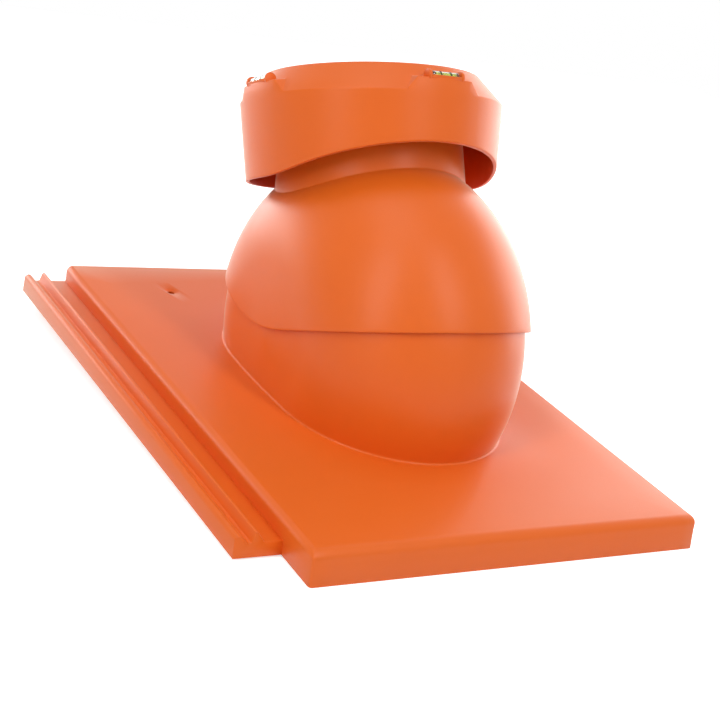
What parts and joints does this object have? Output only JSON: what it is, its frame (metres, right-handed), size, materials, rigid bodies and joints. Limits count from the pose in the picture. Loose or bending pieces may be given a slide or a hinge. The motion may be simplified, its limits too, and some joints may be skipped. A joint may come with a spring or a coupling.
{
  "type": "roof tile vent",
  "caption": "Interlocking roof tile with a barrel foot, a tilting hood with a capped vent pipe, and level vials in the cap to set the pipe upright on the roof.",
  "frame": {"origin": "middle of the batten seat, the rib under the tile that lies on the upper batten, halfway across the cover width", "axes": "+X across the roof to the right, seen from the eaves; +Y up the slope of the roof; +Z out of the roof, square to the tile"},
  "size_m": [0.3325, 0.42, 0.2691],
  "materials": {
    "orange_shell": "satin, fine moulded grain",
    "dark_inner": "satin",
    "vial_glass": "clear",
    "vial_liquid": "clear liquid",
    "vial_plug": "matte",
    "vial_mark": "printed ring"
  },
  "bodies": {
    "tile": {"base_tile": "orange_shell"},
    "vent": {"hood": "orange_shell", "cap": "orange_shell", "vent_pipe": "dark_inner", "clamp_saddle": "dark_inner", "lock_ring": "dark_inner", "vial_front_tube": "vial_glass", "vial_front_liquid": "vial_liquid", "vial_front_plug_1": "vial_plug", "vial_front_plug_2": "vial_plug", "vial_front_mark_1": "vial_mark", "vial_front_mark_2": "vial_mark", "vial_left_tube": "vial_glass", "vial_left_liquid": "vial_liquid", "vial_left_plug_1": "vial_plug", "vial_left_plug_2": "vial_plug", "vial_left_mark_1": "vial_mark", "vial_left_mark_2": "vial_mark"}
  },
  "joints": [
    {"name": "hood_tilt", "type": "hinge", "parent": "tile", "child": "vent", "pos_m": [0, -0.1463, 0.0572], "axis": [-1, 0, 0], "range_deg": [-4, 21]}
  ]
}
